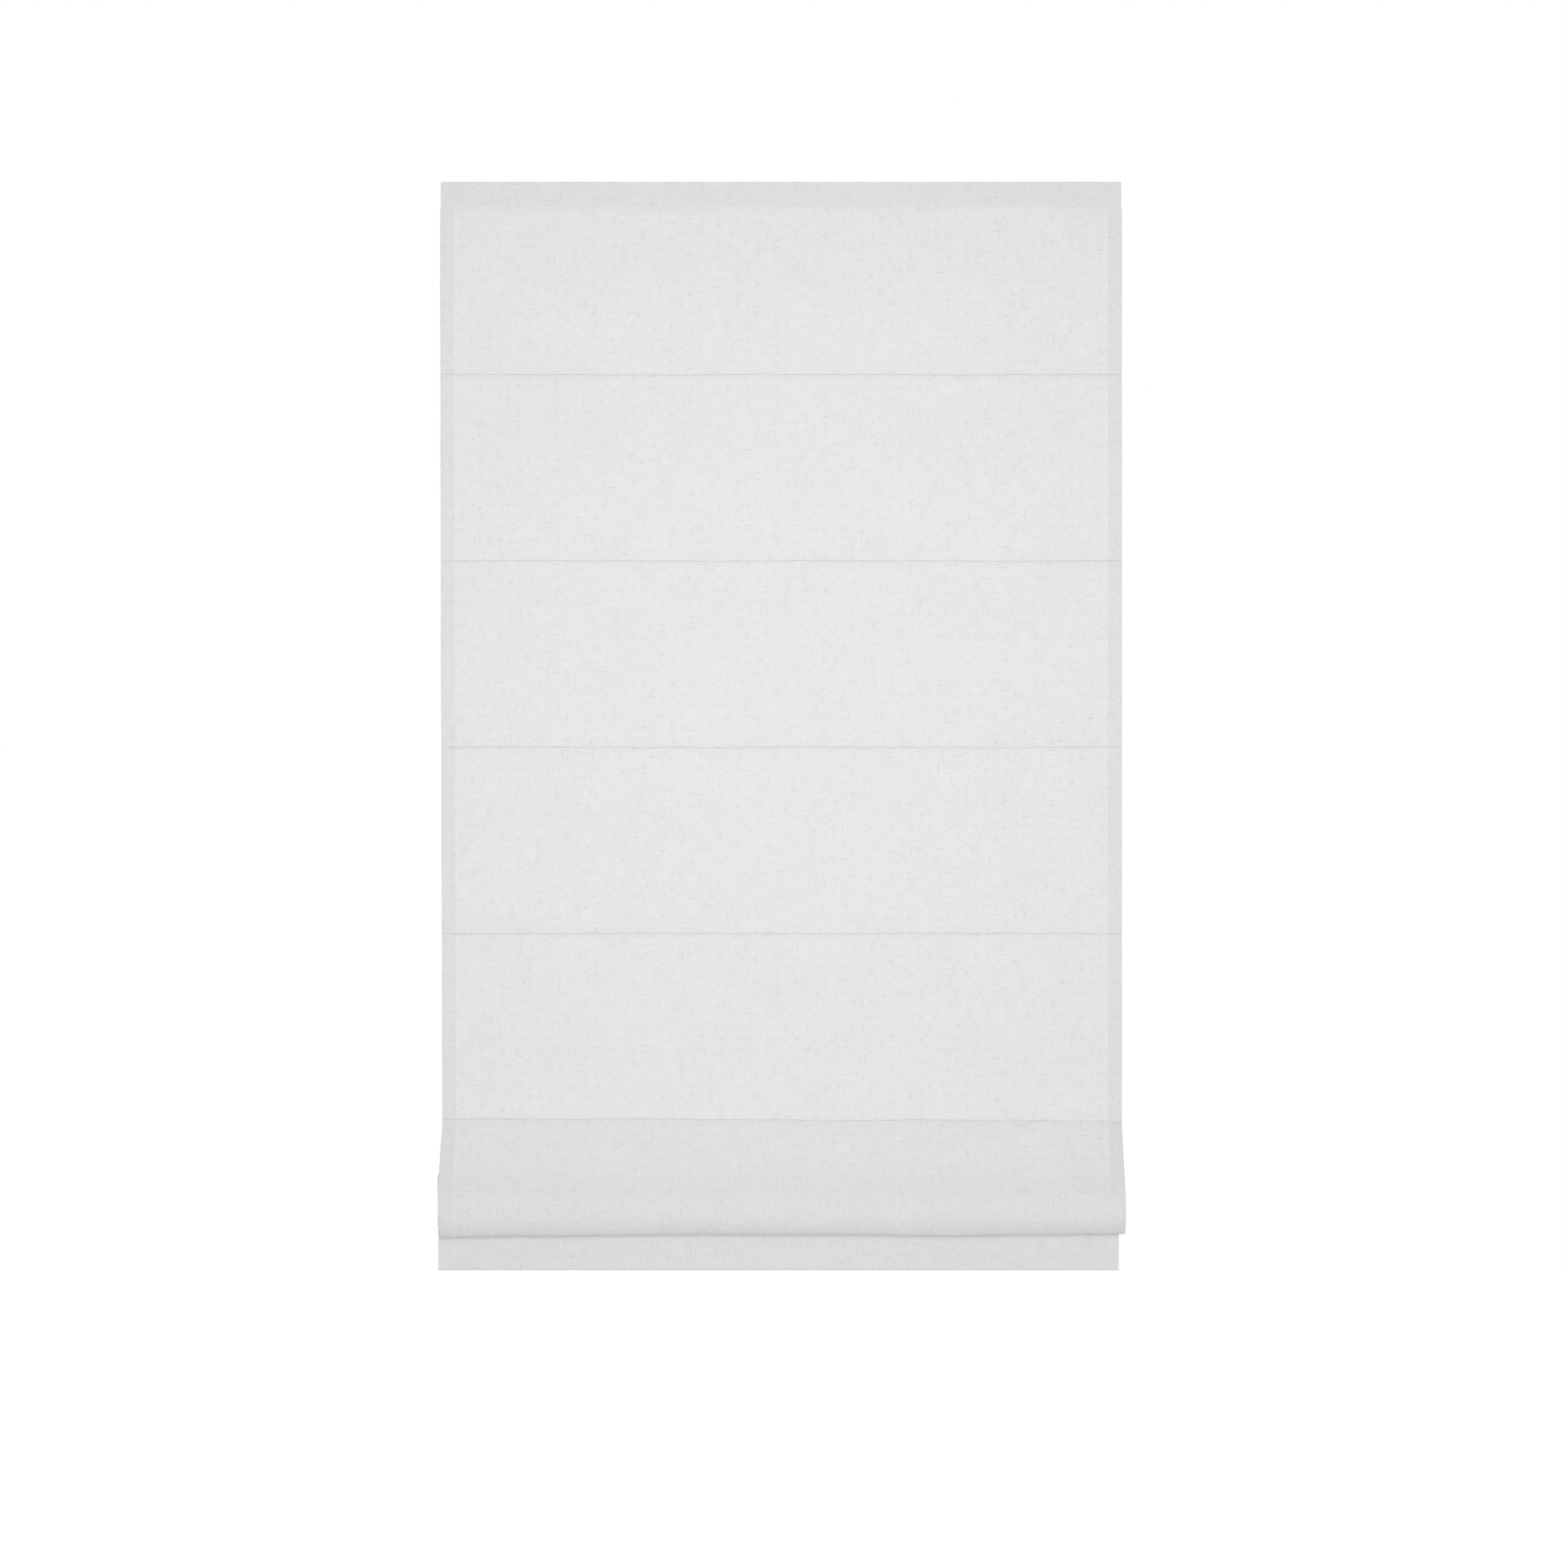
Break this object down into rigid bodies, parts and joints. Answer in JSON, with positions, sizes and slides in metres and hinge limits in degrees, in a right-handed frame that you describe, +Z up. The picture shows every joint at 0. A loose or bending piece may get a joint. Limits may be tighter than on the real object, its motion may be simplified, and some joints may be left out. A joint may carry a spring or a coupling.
{
  "type": "roman blind",
  "caption": "Linen-look roman blind with rods in sewn tucks, hung by hook tape from a spring-lift headrail on wall brackets, its lowest pleat gathered.",
  "frame": {"origin": "middle of the four wall screw holes, on the wall plane behind the headrail brackets", "axes": "+X to the right as seen from the room, +Y into the wall, +Z up the blind"},
  "size_m": [1, 0.0981, 1.598],
  "materials": {
    "rail_paint": "satin",
    "moulded_white": "satin",
    "bracket_steel": "satin",
    "mechanism_plastic": "satin",
    "spring_steel": "satin",
    "shaft_steel": "satin",
    "tape": "matte",
    "cloth": "matte",
    "cord": "matte",
    "rod_fibreglass": "satin",
    "ring_plastic": "gloss",
    "bar_metal": "satin"
  },
  "bodies": {
    "headrail": {"headrail": "rail_paint", "end_cap_left": "moulded_white", "end_cap_right": "moulded_white", "bracket_left": "bracket_steel", "bracket_right": "bracket_steel", "spool_cradle_left": "mechanism_plastic", "spool_cradle_right": "mechanism_plastic", "spring_anchor": "mechanism_plastic", "lift_spring": "spring_steel", "hook_tape": "tape", "loop_tape": "tape", "cloth_panel": "cloth", "lift_cord_left": "cord", "lift_cord_right": "cord"},
    "lift_shaft": {"lift_shaft": "shaft_steel", "cord_spool_left": "mechanism_plastic", "cord_spool_right": "mechanism_plastic", "spring_collar": "mechanism_plastic"},
    "rod_1": {"rod_1": "rod_fibreglass", "rod_caps_1": "moulded_white", "cord_rings_1": "ring_plastic"},
    "rod_2": {"rod_2": "rod_fibreglass", "rod_caps_2": "moulded_white", "cord_rings_2": "ring_plastic"},
    "rod_3": {"rod_3": "rod_fibreglass", "rod_caps_3": "moulded_white", "cord_rings_3": "ring_plastic"},
    "rod_4": {"rod_4": "rod_fibreglass", "rod_caps_4": "moulded_white", "cord_rings_4": "ring_plastic"},
    "rod_5": {"rod_5": "rod_fibreglass", "rod_caps_5": "moulded_white", "cord_rings_5": "ring_plastic"},
    "bottom": {"rod_6": "rod_fibreglass", "rod_caps_6": "moulded_white", "cord_rings_6": "ring_plastic", "cord_stops": "moulded_white", "bottom_bar": "bar_metal", "bottom_bar_shoes": "moulded_white"}
  },
  "joints": [
    {"name": "lift", "type": "slide", "parent": "headrail", "child": "bottom", "axis": [0, 0, 1], "range_m": [0, 1.302], "deforming": ["cloth_panel", "lift_cord_left", "lift_cord_right"]},
    {"name": "rod_1_rise", "type": "slide", "parent": "headrail", "child": "rod_1", "axis": [0, 0, 1], "range_m": [0, 0.2235]},
    {"name": "rod_2_rise", "type": "slide", "parent": "headrail", "child": "rod_2", "axis": [0, 0, 1], "range_m": [0, 0.477]},
    {"name": "rod_3_rise", "type": "slide", "parent": "headrail", "child": "rod_3", "axis": [0, 0, 1], "range_m": [0, 0.7305]},
    {"name": "rod_4_rise", "type": "slide", "parent": "headrail", "child": "rod_4", "axis": [0, 0, 1], "range_m": [0, 0.984]},
    {"name": "rod_5_rise", "type": "slide", "parent": "headrail", "child": "rod_5", "axis": [0, 0, 1], "range_m": [0, 1.2375]},
    {"name": "shaft_turn", "type": "hinge", "parent": "headrail", "child": "lift_shaft", "pos_m": [0, -0.0203, -0.0007], "axis": [-1, 0, 0], "range_deg": [0, 8580]}
  ],
  "couplings": [
    {"joint": "rod_1_rise", "follows": "lift", "ratio": 0.17128},
    {"joint": "rod_2_rise", "follows": "lift", "ratio": 0.36597},
    {"joint": "rod_3_rise", "follows": "lift", "ratio": 0.56068},
    {"joint": "rod_4_rise", "follows": "lift", "ratio": 0.75538},
    {"joint": "rod_5_rise", "follows": "lift", "ratio": 0.95008},
    {"joint": "shaft_turn", "follows": "lift", "rad_per_m": 114.94}
  ]
}
